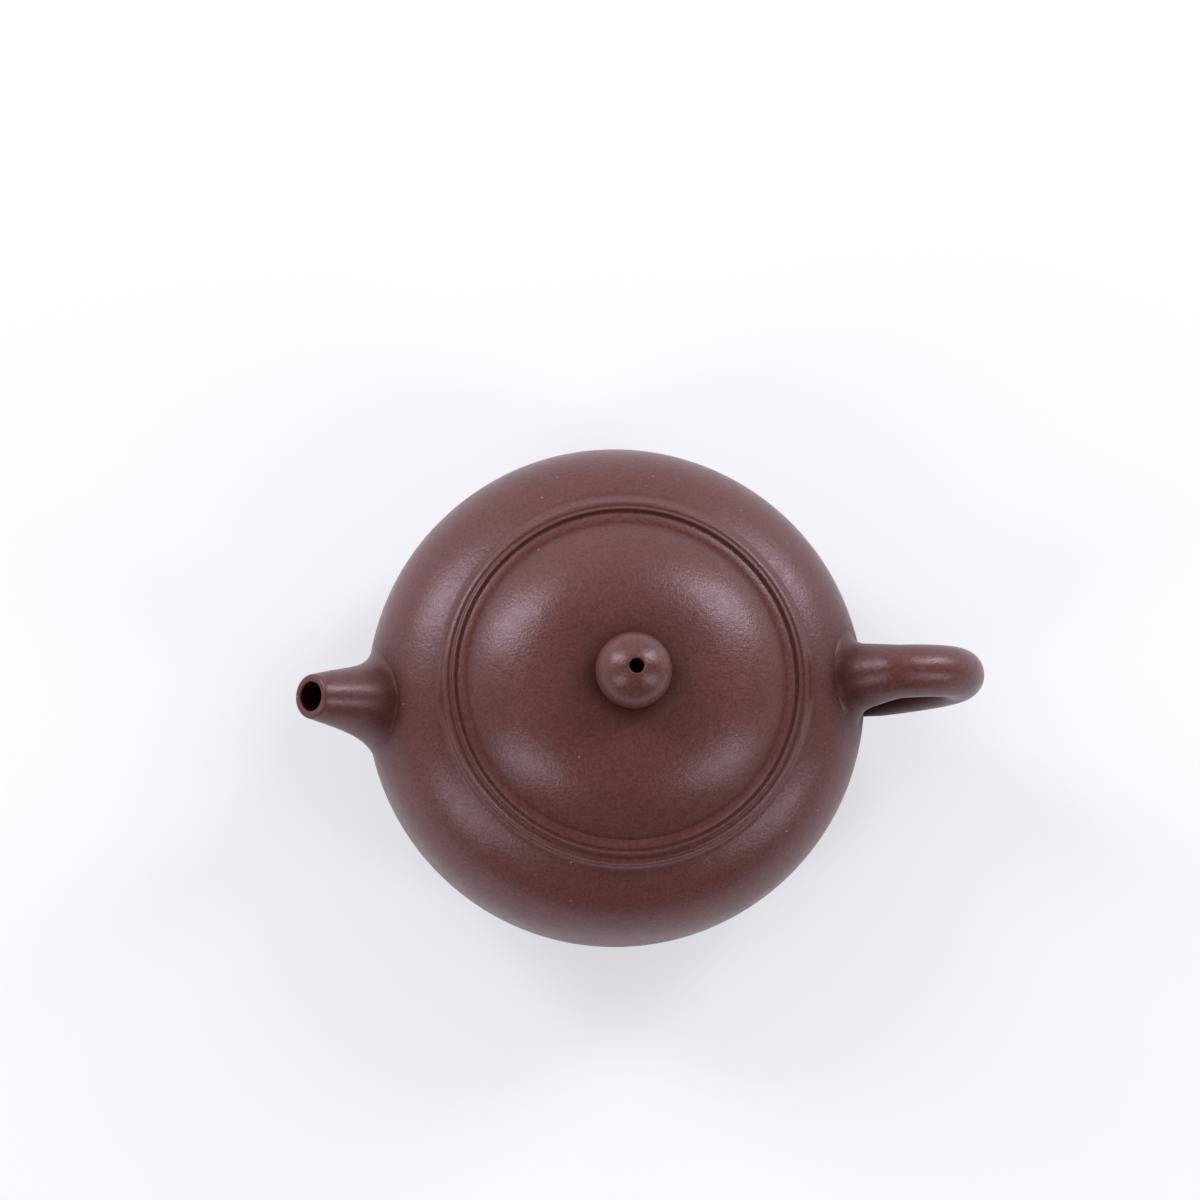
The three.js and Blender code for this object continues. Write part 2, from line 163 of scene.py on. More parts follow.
# Roots: their edges run out into the wall, and their undersides, a little smaller, are buried in it
ROOT_SINK = 0.12
ROOT_BURIED = 1.2
ROOT_BURIED_SCALE = 0.9
ROOT_INSIDE_SCALE = 0.98
SPOUT_LIMB_PULL = 9.5
SPOUT_WALL_PULL_TOP = 0.9
SPOUT_WALL_PULL_SIDE = 5.0
HANDLE_UPPER_LIMB_PULL = 2.4
HANDLE_UPPER_WALL_PULL_TOP = 0.9
HANDLE_UPPER_WALL_PULL_SIDE = 4.0
HANDLE_LOWER_LIMB_PULL = 2.4
HANDLE_LOWER_WALL_PULL = 3.0

# How far hand work leaves the clay from a true round form
WAVE_DEPTH = 0.07
WAVE_LENGTH = 17.0

# Fineness of the meshes: sides round a piece, and steps along a curve
TURN_SEGMENTS = 256
LIMB_SEGMENTS = 96
PIN_SEGMENTS = 32
BLEND_STEPS = 40
COIL_STEPS = 40
CAP_STEPS = 39
BORE_STEPS = 10
BOW_STEPS = 10

# How far a round stretch turns in one step, and from what angle an edge is sharp, in degrees
CURVE_STEP = 1.5
BALL_STEP = 3.0
EDGE_STEP = 6.0
SHARP_ANGLE = 35.0

# A ring narrower than this is one point, and the wall's slope is taken over this angle, in radians
POINT_RADIUS = 0.001
SLOPE_ANGLE = 0.001

# Levels that follow from the sizes above
BODY_OUTSIDE = {"radius": BODY_RADIUS, "rise": SHOULDER_RISE, "drop": BELLY_DROP}
BODY_INSIDE = {name: size - WALL_THICKNESS for name, size in BODY_OUTSIDE.items()}
FLOOR_HEIGHT = FOOT_HEIGHT + FLOOR_THICKNESS
SEAM_HEIGHT = EQUATOR_HEIGHT + SHOULDER_SEAM_RISE
THROAT_RADIUS = MOUTH_RING_RADIUS - MOUTH_RING_WIDTH
LID_RADIUS = MOUTH_RING_RADIUS - LID_SETBACK
DOME_RADIUS = LID_RADIUS - LID_LEDGE_WIDTH
FLANGE_RADIUS = THROAT_RADIUS - FLANGE_CLEARANCE
FLANGE_INNER_RADIUS = FLANGE_RADIUS - FLANGE_THICKNESS

# The pot's axis stands where the frame's round lid has its middle
lid_low, lid_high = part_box("lid_plate")
AXIS = Vector(((lid_low[0] + lid_high[0]) / 2, 0, 0))


# Sections: lists of (radius, height) points

def half_of(form, upper):
    """The reach and the fullness of the half of the body above the equator, or of the one below."""
    return (form["rise"], SHOULDER_FULLNESS) if upper else (form["drop"], BELLY_FULLNESS)


def radius_at(form, height):
    """Radius of the wall at this height."""
    reach, fullness = half_of(form, height > EQUATOR_HEIGHT)
    level = abs(height - EQUATOR_HEIGHT) / reach
    return form["radius"] * (1 - level ** fullness) ** (1 / fullness)


def height_at(form, radius):
    """Height at which the upper half of the wall has this radius."""
    reach, fullness = half_of(form, True)
    return EQUATOR_HEIGHT + reach * (1 - (radius / form["radius"]) ** fullness) ** (1 / fullness)


def even_turns(start, end, step=CURVE_STEP):
    """Angles from start to end, in radians, each a step of so many degrees after the last."""
    count = max(2, math.ceil(abs(end - start) / math.radians(step)))
    return [start + (end - start) * i / count for i in range(count + 1)]


def shares(count):
    """How much of a curve lies behind each of its points."""
    return [i / count for i in range(count + 1)]


def wall_curve(form, from_height, to_height):
    """The wall between two heights, with its points closer together where it bends more."""
    def turn_at(height):
        reach, fullness = half_of(form, height > EQUATOR_HEIGHT)
        level = (height - EQUATOR_HEIGHT) / reach
        return math.copysign(math.asin(abs(level) ** (fullness / 2)), level)

    points = []
    for turn in even_turns(turn_at(from_height), turn_at(to_height)):
        reach, fullness = half_of(form, turn > 0)
        level = math.copysign(abs(math.sin(turn)) ** (2 / fullness), turn)
        height = EQUATOR_HEIGHT + level * reach
        points.append((radius_at(form, height), height))
    return points


def cap_height(radius, spread, rise):
    """Height of a domed cap, which spreads and rises so far, at this radius."""
    return LID_PLATE_TOP + rise * (1 - (radius / spread) ** DOME_FULLNESS)


def cap_curve(from_radius, to_radius, spread, rise):
    radii = [from_radius + (to_radius - from_radius) * share for share in shares(CAP_STEPS)]
    return [(radius, cap_height(radius, spread, rise)) for radius in radii]


def arc(centre, across, up, from_angle, to_angle):
    """Part of an ellipse, between two angles in degrees."""
    turns = even_turns(math.radians(from_angle), math.radians(to_angle), EDGE_STEP)
    return [(centre[0] + across * math.cos(turn), centre[1] + up * math.sin(turn)) for turn in turns]


def bowed(start, corner, end):
    """A curve from start to end that leaves the one and meets the other in line with the corner."""
    start, corner, end = Vector(start), Vector(corner), Vector(end)
    return [
        tuple(start.lerp(corner, share).lerp(corner.lerp(end, share), share))
        for share in shares(BOW_STEPS)
    ]


def eased(before, corner, after, size):
    """A corner eased into a short curve that starts and ends that size away from it."""
    before, corner, after = Vector(before), Vector(corner), Vector(after)
    start = corner + (before - corner).normalized() * size
    end = corner + (after - corner).normalized() * size
    return bowed(start, corner, end)


NECK_HEIGHT = height_at(BODY_OUTSIDE, MOUTH_RING_RADIUS + NECK_SHELF)
RIM_HEIGHT = NECK_HEIGHT + MOUTH_RING_HEIGHT
LID_PLATE_TOP = RIM_HEIGHT + LID_PLATE_THICKNESS
KNOB_SEAT_HEIGHT = cap_height(KNOB_BASE_RADIUS, DOME_RADIUS, DOME_RISE)


# Skins: rings of points joined into closed meshes

def loft(rings, closed, matt_from=None):
    """Joins rings of points into corners, faces and material slots.

    A ring of one point is a pole. Bands from the ring matt_from on take the second material.
    """
    corners = [point for ring in rings for point in ring]
    starts = [0]
    for ring in rings:
        starts.append(starts[-1] + len(ring))
    bands = [(i, i + 1) for i in range(len(rings) - 1)]
    if closed:
        bands.append((len(rings) - 1, 0))
    faces = []
    slots = []
    for low, high in bands:
        count = max(len(rings[low]), len(rings[high]))
        for i in range(count):
            turn = ((low, i), (low, i + 1), (high, i + 1), (high, i))
            face = [starts[ring] + place % len(rings[ring]) for ring, place in turn]
            faces.append(list(dict.fromkeys(face)))
            slots.append(1 if matt_from is not None and low >= matt_from else 0)
    return corners, faces, slots


def full_turn(sides):
    return [2 * math.pi * i / sides for i in range(sides)]


def turned(outside, inside=()):
    """A section turned about the pot's axis. It closes on itself, or starts and ends on the axis."""
    rings = []
    for radius, height in [*outside, *inside]:
        turns = full_turn(TURN_SEGMENTS if radius > 0 else 1)
        rings.append([
            Vector((radius * math.cos(turn), radius * math.sin(turn), height)) for turn in turns
        ])
    closed = len(rings[0]) > 1
    return loft(rings, closed, matt_from=len(outside) - 1 if inside else None)


def hand_worked(point):
    """Moves a point a little way in, by a slow wave, as beating and scraping by hand leave it."""
    wave = (noise.noise(point / WAVE_LENGTH) + 1) / 2
    return point * (1 - WAVE_DEPTH * wave / BODY_RADIUS)


def skin_object(name, skin, materials):
    """Makes a skin into a mesh object in the frame's metres."""
    corners, faces, slots = skin
    mesh = bpy.data.meshes.new(name)
    mesh.from_pydata([hand_worked(corner) * MM + AXIS for corner in corners], [], faces)
    mesh.polygons.foreach_set("material_index", slots)
    for material in materials:
        mesh.materials.append(material)
    solid = bpy.data.objects.new(name, mesh)
    bpy.context.collection.objects.link(solid)
    shade(mesh)
    return solid


def shade(mesh):
    """Turns faces outward and shades them smooth, except across real edges."""
    shell = bmesh.new()
    shell.from_mesh(mesh)
    bmesh.ops.recalc_face_normals(shell, faces=shell.faces)
    shell.to_mesh(mesh)
    shell.free()
    mesh.polygons.foreach_set("use_smooth", [True] * len(mesh.polygons))
    mesh.set_sharp_from_angle(angle=math.radians(SHARP_ANGLE))


def carve(solid, tool, operation):
    """Cuts or trims a solid with a tool, which is used up."""
    change = solid.modifiers.new(operation.title(), "BOOLEAN")
    change.operation = operation
    change.solver = "EXACT"
    change.object = tool
    depsgraph = bpy.context.evaluated_depsgraph_get()
    carved = bpy.data.meshes.new_from_object(solid.evaluated_get(depsgraph))
    solid.modifiers.clear()
    old = solid.data
    solid.data = carved
    bpy.data.meshes.remove(old)
    bpy.data.objects.remove(tool)
    shade(carved)


def finished(solid, node, body):
    """Sets a piece in the frame, in the place of its node."""
    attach(solid, body)
    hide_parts(node)


# Pieces that are turned about the pot's axis

def foot_ring():
    outer = radius_at(BODY_OUTSIDE, FOOT_HEIGHT) - FOOT_STEP
    inner = outer - FOOT_WIDTH
    bottom_outer = outer - FOOT_TAPER
    return turned([
        (inner, FOOT_HEIGHT),
        *eased((inner, FOOT_HEIGHT), (inner, 0), (outer, 0), FOOT_EDGE_ROUND),
        *eased((inner, 0), (bottom_outer, 0), (outer, FOOT_HEIGHT), FOOT_EDGE_ROUND),
        (outer, FOOT_HEIGHT),
    ])


def base_disc():
    hollow_edge = radius_at(BODY_OUTSIDE, FOOT_HEIGHT) - FOOT_STEP - FOOT_WIDTH
    corner_top = FLOOR_HEIGHT + FLOOR_CORNER_RISE
    wall_foot = radius_at(BODY_INSIDE, FLOOR_HEIGHT)
    corner = interpolate_bezier(
        Vector((radius_at(BODY_INSIDE, corner_top), 0, corner_top)),
        Vector((wall_foot, 0, FLOOR_HEIGHT)),
        Vector((wall_foot - FLOOR_CORNER_PULL, 0, FLOOR_HEIGHT)),
        Vector((FLOOR_FLAT_RADIUS, 0, FLOOR_HEIGHT)),
        BLEND_STEPS,
    )
    return turned(
        [
            (0, FOOT_HEIGHT + BASE_HOLLOW),
            (hollow_edge / 2, FOOT_HEIGHT + BASE_HOLLOW),
            (hollow_edge, FOOT_HEIGHT),
            *wall_curve(BODY_OUTSIDE, FOOT_HEIGHT, FLOOR_HEIGHT),
        ],
        [*[(point.x, point.z) for point in corner], (0, FLOOR_HEIGHT)],
    )


def body_wall():
    return turned(
        wall_curve(BODY_OUTSIDE, FLOOR_HEIGHT, SEAM_HEIGHT),
        wall_curve(BODY_INSIDE, SEAM_HEIGHT, FLOOR_HEIGHT),
    )


def shoulder_disc():
    throat_floor = NECK_HEIGHT - THROAT_DEPTH
    top = (THROAT_RADIUS, NECK_HEIGHT)
    under = wall_curve(BODY_INSIDE, throat_floor, SEAM_HEIGHT)
    return turned(
        [*wall_curve(BODY_OUTSIDE, SEAM_HEIGHT, NECK_HEIGHT), top],
        [*eased(top, (THROAT_RADIUS, throat_floor), under[0], THROAT_EDGE_ROUND), *under],
    )


def mouth_ring():
    edge = (MOUTH_RING_RADIUS - MOUTH_EDGE_ROUND, RIM_HEIGHT - MOUTH_EDGE_ROUND)
    foot_radius = MOUTH_RING_RADIUS + MOUTH_RING_SPREAD
    foot = (foot_radius, height_at(BODY_OUTSIDE, foot_radius) - ROOT_SINK)
    return turned([
        (THROAT_RADIUS, NECK_HEIGHT - ROOT_SINK),
        *bowed(foot, (MOUTH_RING_RADIUS, NECK_HEIGHT), (MOUTH_RING_RADIUS, edge[1])),
        *arc(edge, MOUTH_EDGE_ROUND, MOUTH_EDGE_ROUND, 0, 90)[1:],
        *eased(edge, (THROAT_RADIUS, RIM_HEIGHT), (THROAT_RADIUS, NECK_HEIGHT), MOUTH_INNER_ROUND),
    ])


def lid_plate():
    bead = (LID_RADIUS - LID_BEAD_ROUND, LID_PLATE_TOP + LID_BEAD_STAND - LID_BEAD_ROUND)
    bead_foot = (bead[0] - LID_BEAD_ROUND, bead[1])
    plate_foot = (LID_RADIUS + LID_FOOT_SPREAD, RIM_HEIGHT)
    groove = (bead_foot[0] - LID_GROOVE_WIDTH / 2, LID_PLATE_TOP - LID_GROOVE_DEPTH)
    ledge_edge = (bead_foot[0] - LID_GROOVE_WIDTH, LID_PLATE_TOP - LID_LEDGE_DROP)
    ledge_middle = ((ledge_edge[0] + DOME_RADIUS) / 2, LID_PLATE_TOP)
    return turned(
        [
            *bowed(plate_foot, (LID_RADIUS, RIM_HEIGHT), (LID_RADIUS, bead[1])),
            *arc(bead, LID_BEAD_ROUND, LID_BEAD_ROUND, 0, 180)[1:],
            *eased(bead_foot, groove, ledge_edge, LID_GROOVE_ROUND),
            *bowed(ledge_edge, ledge_middle, (DOME_RADIUS, LID_PLATE_TOP)),
        ],
        [(FLANGE_INNER_RADIUS, LID_PLATE_TOP), (FLANGE_INNER_RADIUS, RIM_HEIGHT)],
    )


def lid_flange():
    bottom = RIM_HEIGHT - FLANGE_DEPTH
    inner_top = (FLANGE_INNER_RADIUS, RIM_HEIGHT)
    inner = (FLANGE_INNER_RADIUS, bottom)
    outer = (FLANGE_RADIUS, bottom)
    outer_top = (FLANGE_RADIUS, RIM_HEIGHT)
    return turned([
        inner_top,
        *eased(inner_top, inner, outer, FLANGE_EDGE_ROUND),
        *eased(inner, outer, outer_top, FLANGE_EDGE_ROUND),
        outer_top,
    ])


def lid_dome():
    inside_radius = DOME_RADIUS - DOME_THICKNESS
    inside_rise = DOME_RISE - DOME_THICKNESS
    return turned(
        [
            *cap_curve(DOME_RADIUS, KNOB_BASE_RADIUS, DOME_RADIUS, DOME_RISE),
            (AIR_HOLE_RADIUS, KNOB_SEAT_HEIGHT),
        ],
        cap_curve(AIR_HOLE_RADIUS, inside_radius, inside_radius, inside_rise),
    )


def knob():
    neck_top = KNOB_SEAT_HEIGHT + KNOB_NECK_HEIGHT
    neck_angle = math.degrees(math.acos(KNOB_NECK_RADIUS / KNOB_RADIUS))
    hole_angle = math.degrees(math.acos((AIR_HOLE_RADIUS + AIR_HOLE_EDGE) / KNOB_RADIUS))
    middle = (0, neck_top + KNOB_LOWER_HALF * math.sin(math.radians(neck_angle)))
    flare = (KNOB_BASE_RADIUS, neck_top)
    upper_half = arc(middle, KNOB_RADIUS, KNOB_UPPER_HALF, 0, hole_angle)
    hole_edge = upper_half[-1]
    seat = (AIR_HOLE_RADIUS, KNOB_SEAT_HEIGHT)
    return turned(
        [
            *arc(flare, KNOB_BASE_RADIUS - KNOB_NECK_RADIUS, KNOB_NECK_HEIGHT, 270, 180),
            *arc(middle, KNOB_RADIUS, KNOB_LOWER_HALF, -neck_angle, 0)[1:],
            *upper_half[1:],
            *eased(hole_edge, (AIR_HOLE_RADIUS, hole_edge[1]), seat, AIR_HOLE_EDGE)[1:],
        ],
        [seat],
    )


# Limbs: spout and handle lie in the XZ plane, and their roots run out into the wall

def wall_place(angle):
    """Radius and height of the outside at this angle, in radians, from the middle of the body."""
    reach, fullness = half_of(BODY_OUTSIDE, angle > 0)
    across = (math.cos(angle) / BODY_OUTSIDE["radius"]) ** fullness
    up = (abs(math.sin(angle)) / reach) ** fullness
    distance = (across + up) ** (-1 / fullness)
    return Vector((distance * math.cos(angle), EQUATOR_HEIGHT + distance * math.sin(angle)))


def wall_point(angle, sideways, lift):
    """A point on the wall at this angle and so far to the side, lifted off the wall or sunk into it."""
    place = wall_place(angle)
    along = (wall_place(angle + SLOPE_ANGLE) - wall_place(angle - SLOPE_ANGLE)).normalized()
    place += Vector((along.y, -along.x)) * lift
    around = sideways / BODY_RADIUS
    return Vector((place.x * math.cos(around), place.x * math.sin(around), place.y))


def root_ring(root, scale, lift):
    """The oval on the wall where a limb ends, scaled about its middle, in step with the limb's rings."""
    return [
        wall_point(
            math.radians(root["angle"] + root["up"] * root["half_angle"] * scale * math.cos(turn)),
            -root["half_width"] * scale * math.sin(turn),
            lift,
        )
        for turn in full_turn(LIMB_SEGMENTS)
    ]


def limb_ring(centre, direction, radius):
    """A circle round a limb's middle line."""
    across = Vector((-direction.z, 0, direction.x))
    side = Vector((0, -1, 0))
    return [
        centre + (across * math.cos(turn) + side * math.sin(turn)) * radius
        for turn in full_turn(LIMB_SEGMENTS)
    ]


def pulls(top, side):
    """How far the wall pulls each line of a blend: so far at the root's top, and so far elsewhere."""
    return [side + (top - side) * max(0, math.cos(turn)) ** 2 for turn in full_turn(LIMB_SEGMENTS)]


def root_blend(root, ring, directions, limb_pull, wall_pulls):
    """Rings from the root's edge, where the clay leaves the wall flush with it, up to the limb."""
    edges = root_ring(root, 1, -ROOT_SINK)
    inners = root_ring(root, ROOT_INSIDE_SCALE, -ROOT_SINK)
    lines = []
    for edge, inner, start, direction, wall_pull in zip(edges, inners, ring, directions, wall_pulls):
        along_wall = (edge - inner).normalized()
        lines.append(interpolate_bezier(
            edge, edge - along_wall * wall_pull, start - direction * limb_pull, start, BLEND_STEPS + 1,
        ))
    return [list(points) for points in zip(*lines)][:-1]


def turned_round(skin):
    """The same skin on the other side of the pot's axis."""
    corners, faces, slots = skin
    return [Vector((-corner.x, -corner.y, corner.z)) for corner in corners], faces, slots


def heading(slope):
    """The way outward that climbs at this slope, in degrees."""
    return Vector((math.cos(math.radians(slope)), 0, math.sin(math.radians(slope))))


def spout_mouth():
    return Vector((BODY_RADIUS + SPOUT_REACH, 0, RIM_HEIGHT - SPOUT_MOUTH_BELOW_RIM))


def bore_line():
    """Where the bore leaves the wall, the way it runs and how far it is to the spout's mouth."""
    entry = wall_point(math.radians(BORE_ROOT_ANGLE), 0, 0)
    span = spout_mouth() - entry
    return entry, span.normalized(), span.length


def spout_lip():
    """Rings over the rounded outer edge of the spout's mouth."""
    facing = heading(SPOUT_MOUTH_TILT)
    return [
        limb_ring(
            spout_mouth() - facing * SPOUT_LIP_ROUND * (1 - math.sin(turn)),
            facing,
            SPOUT_LIP_RADIUS - SPOUT_LIP_ROUND * (1 - math.cos(turn)),
        )
        for turn in even_turns(0, math.pi / 2, EDGE_STEP)
    ]


def bore_lip():
    """Rings over the rounded inner edge of the spout's mouth."""
    facing = heading(SPOUT_MOUTH_TILT)
    return [
        limb_ring(
            spout_mouth() - facing * BORE_LIP_ROUND * (1 - math.cos(turn)),
            facing,
            SPOUT_MOUTH_BORE + BORE_LIP_ROUND * (1 - math.sin(turn)),
        )
        for turn in even_turns(0, math.pi / 2, EDGE_STEP)
    ]


def bore():
    """Rings down the bore, which widens towards the wall and ends halfway through it."""
    entry, direction, length = bore_line()
    rings = []
    for share in shares(BORE_STEPS)[1:]:
        along = (length - BORE_LIP_ROUND) * (1 - share) - WALL_THICKNESS / 2 * share
        radius = SPOUT_MOUTH_BORE + (SPOUT_ROOT_BORE - SPOUT_MOUTH_BORE) * share
        rings.append(limb_ring(entry + direction * along, direction, radius))
    return rings


def spout():
    root = {
        "angle": SPOUT_ROOT_ANGLE,
        "half_angle": SPOUT_ROOT_HALF_ANGLE,
        "half_width": SPOUT_ROOT_HALF_WIDTH,
        "up": 1,
    }
    narrowing = math.tan(math.radians(SPOUT_TAPER_SIDEWAYS))
    tapering = [
        (heading(SPOUT_SLOPE - SPOUT_TAPER_UPWARD * math.cos(turn))
         + Vector((0, narrowing * math.sin(turn), 0))).normalized()
        for turn in full_turn(LIMB_SEGMENTS)
    ]
    lip = spout_lip()
    wall_pulls = pulls(SPOUT_WALL_PULL_TOP, SPOUT_WALL_PULL_SIDE)
    outside = [*root_blend(root, lip[0], tapering, SPOUT_LIMB_PULL, wall_pulls), *lip, *bore_lip()]
    buried = root_ring(root, ROOT_BURIED_SCALE, -ROOT_BURIED)
    return turned_round(loft([*outside, *bore(), buried], closed=True, matt_from=len(outside) - 1))


def handle_lines():
    """The coil's middle line in three curves, each with the coil's radius at its two ends."""
    level = Vector((1, 0, 0))
    upright = Vector((0, 0, 1))
    upper = wall_point(math.radians(HANDLE_UPPER_ROOT_ANGLE), 0, 0)
    crest = Vector((BODY_RADIUS + HANDLE_CREST_REACH, 0, EQUATOR_HEIGHT + HANDLE_CREST_RISE))
    bend_reach = HANDLE_REACH - HANDLE_BEND_RADIUS
    bend = Vector((BODY_RADIUS + bend_reach, 0, EQUATOR_HEIGHT + HANDLE_BEND_RISE))
    lower = wall_point(math.radians(HANDLE_LOWER_ROOT_ANGLE), 0, 0)
    upper_pull = heading(HANDLE_UPPER_SLOPE) * HANDLE_UPPER_PULL
    lower_pull = heading(HANDLE_LOWER_SLOPE) * HANDLE_LOWER_PULL
    return (
        ((upper, upper + upper_pull, crest - level * HANDLE_CREST_PULL_IN, crest),
         HANDLE_ROOT_RADIUS, HANDLE_CREST_RADIUS),
        ((crest, crest + level * HANDLE_CREST_PULL_OUT, bend + upright * HANDLE_BEND_PULL_UP, bend),
         HANDLE_CREST_RADIUS, HANDLE_BEND_RADIUS),
        ((bend, bend - upright * HANDLE_BEND_PULL_DOWN, lower + lower_pull, lower),
         HANDLE_BEND_RADIUS, HANDLE_LOWER_RADIUS),
    )


def coil_rings(line, start_radius, end_radius, start, end):
    """Rings of the coil along one of its curves, between two shares of it."""
    first, second, third, last = line
    rings = []
    for share in shares(COIL_STEPS):
        gone = start + (end - start) * share
        left = 1 - gone
        place = (first * left ** 3 + second * 3 * gone * left ** 2
                 + third * 3 * gone ** 2 * left + last * gone ** 3)
        ahead = ((second - first) * left ** 2 + (third - second) * 2 * gone * left
                 + (last - third) * gone ** 2).normalized()
        rings.append(limb_ring(place, ahead, end_radius + (start_radius - end_radius) * left ** 2))
    return rings


def leaving(ring, next_ring):
    """The way each line of the coil leaves a ring, which follows the coil's own taper."""
    return [(after - before).normalized() for before, after in zip(ring, next_ring)]


def handle():
    upper_root = {
        "angle": HANDLE_UPPER_ROOT_ANGLE,
        "half_angle": HANDLE_UPPER_ROOT_HALF_ANGLE,
        "half_width": HANDLE_UPPER_ROOT_HALF_WIDTH,
        "up": 1,
    }
    lower_root = {
        "angle": HANDLE_LOWER_ROOT_ANGLE,
        "half_angle": HANDLE_LOWER_ROOT_HALF_ANGLE,
        "half_width": HANDLE_LOWER_ROOT_HALF_WIDTH,
        "up": -1,
    }
    rising, falling, returning = handle_lines()
    coil = [
        *coil_rings(*rising, HANDLE_COIL_START, 1),
        *coil_rings(*falling, 0, 1)[1:],
        *coil_rings(*returning, 0, HANDLE_COIL_END)[1:],
    ]
    upper = root_blend(
        upper_root, coil[0], leaving(coil[0], coil[1]), HANDLE_UPPER_LIMB_PULL,
        pulls(HANDLE_UPPER_WALL_PULL_TOP, HANDLE_UPPER_WALL_PULL_SIDE),
    )
    lower = root_blend(
        lower_root, coil[-1], leaving(coil[-1], coil[-2]), HANDLE_LOWER_LIMB_PULL,
        [HANDLE_LOWER_WALL_PULL] * LIMB_SEGMENTS,
    )
    return loft([
        [wall_point(math.radians(HANDLE_UPPER_ROOT_ANGLE), 0, -ROOT_BURIED)],
        root_ring(upper_root, ROOT_BURIED_SCALE, -ROOT_BURIED),
        *upper,
        *coil,
        *reversed(lower),
        root_ring(lower_root, ROOT_BURIED_SCALE, -ROOT_BURIED),
        [wall_point(math.radians(HANDLE_LOWER_ROOT_ANGLE), 0, -ROOT_BURIED)],
    ], closed=False)


# Cutting tools for the spout's hole and the strainer

def rod(start, direction, radius, length, sides):
    """A plain rod, used as a drill, from start along direction."""
    lean = Vector((0, 0, 1)).rotation_difference(direction)
    rings = []
    for height, reach in ((0, 0), (0, radius), (length, radius), (length, 0)):
        turns = full_turn(sides if reach else 1)
        ring = [Vector((reach * math.cos(turn), reach * math.sin(turn), height)) for turn in turns]
        rings.append([start + lean @ point for point in ring])
    return turned_round(loft(rings, closed=False))


def ball(centre, radius):
    rings = []
    for lift in even_turns(-math.pi / 2, math.pi / 2, BALL_STEP):
        reach = radius * math.cos(lift)
        level = centre.z + radius * math.sin(lift)
        rings.append([
            Vector((centre.x + reach * math.cos(turn), centre.y + reach * math.sin(turn), level))
            for turn in full_turn(1 if reach < POINT_RADIUS else LIMB_SEGMENTS)
        ])
    return turned_round(loft(rings, closed=False))


def pierced_wall(materials):
    """The body's wall with the hole into the spout, drilled from inside."""
    wall = skin_object("body_wall_clay", body_wall(), materials)
    entry, direction, _ = bore_line()
    start = entry - direction * STRAINER_RADIUS
    hole = rod(start, direction, SPOUT_ROOT_BORE, STRAINER_RADIUS + WALL_THICKNESS, LIMB_SEGMENTS)
    carve(wall, skin_object("wall_drill", hole, materials[1:]), "DIFFERENCE")
    return wall


def strainer(material):
    """Part of a hollow ball with rings of holes, cut off a little way into the wall round it."""
    entry, direction, _ = bore_line()
    inward = -direction
    centre = entry + inward * WALL_THICKNESS
    shell = skin_object("strainer_clay", ball(centre, STRAINER_RADIUS), [material])
    hollow = ball(centre, STRAINER_RADIUS - STRAINER_THICKNESS)
    carve(shell, skin_object("strainer_hollow", hollow, [material]), "DIFFERENCE")
    space = {name: size + STRAINER_THICKNESS / 2 for name, size in BODY_INSIDE.items()}
    chamber = turned([
        (0, FLOOR_HEIGHT),
        *wall_curve(space, FLOOR_HEIGHT, SEAM_HEIGHT),
        (0, SEAM_HEIGHT),
    ])
    carve(shell, skin_object("chamber", chamber, [material]), "INTERSECT")
    # The drill starts one thickness inside the shell and ends one thickness outside it
    for holes, tilt in STRAINER_RINGS:
        for i in range(holes):
            lean = Quaternion(Vector((0, 1, 0)), math.radians(tilt))
            spin = Quaternion(inward, 2 * math.pi * i / holes)
            aim = spin @ lean @ inward
            start = centre + aim * (STRAINER_RADIUS - 2 * STRAINER_THICKNESS)
            pin = rod(start, aim, STRAINER_HOLE_RADIUS, 3 * STRAINER_THICKNESS, PIN_SEGMENTS)
            carve(shell, skin_object("strainer_pin", pin, [material]), "DIFFERENCE")
    return shell


# Materials. Sizes and depths are in millimetres, and colours are linear

# The sockets of a mix node: its factor and its two colours, and the colour that comes out
MIX_INPUTS = (0, 6, 7)
MIX_RESULT = 2

# What a noise mostly lies between
NOISE_LOW = 0.3
NOISE_HIGH = 0.7

# Burnished clay, and clay left matt from the tool
BURNISHED_DEEP = (0.094, 0.0300, 0.0245, 1)
BURNISHED_LIGHT = (0.110, 0.036, 0.029, 1)
BURNISHED_ROUGHNESS = 0.32
BURNISHED_GRAIN = 0.055
MATT_DEEP = (0.090, 0.032, 0.026, 1)
MATT_LIGHT = (0.112, 0.041, 0.033, 1)
MATT_ROUGHNESS = 0.70
MATT_GRAIN = 0.025
CLAY_SPECULAR = 0.5
CLAY_SPECULAR_TINT = (0.96, 0.84, 1.0, 1)

# Slow drift of tone, mottles and sand grain
DRIFT_SIZE = 24.0
DRIFT_DETAIL = 3
MOTTLE_SIZE = 1.9
MOTTLE_DETAIL = 3
MOTTLE_SHARE = 0.35
MOTTLE_DEPTH = 0.03
MOTTLE_SMOOTHER = 0.04
MOTTLE_ROUGHER = 0.05
GRAIN_SIZE = 0.55
GRAIN_DETAIL = 2
GRAIN_ROUGHNESS = 0.65
GRAIN_DARKEST = 0.74
GRAIN_LIGHTEST = 1.24

# Specks: the core is the share of a speck's radius before its edge starts to fade
SPECK_CORE = 0.6
PALE_SPECK = (0.5, 0.38, 0.34, 1)
PALE_SPACING = 1.5
PALE_RADIUS = 0.13
PALE_SHARE = 0.05
PALE_STAND = 0.02
DARK_SPECK = (0.02, 0.011, 0.010, 1)
DARK_SPACING = 1.1
DARK_RADIUS = 0.15
DARK_SHARE = 0.12

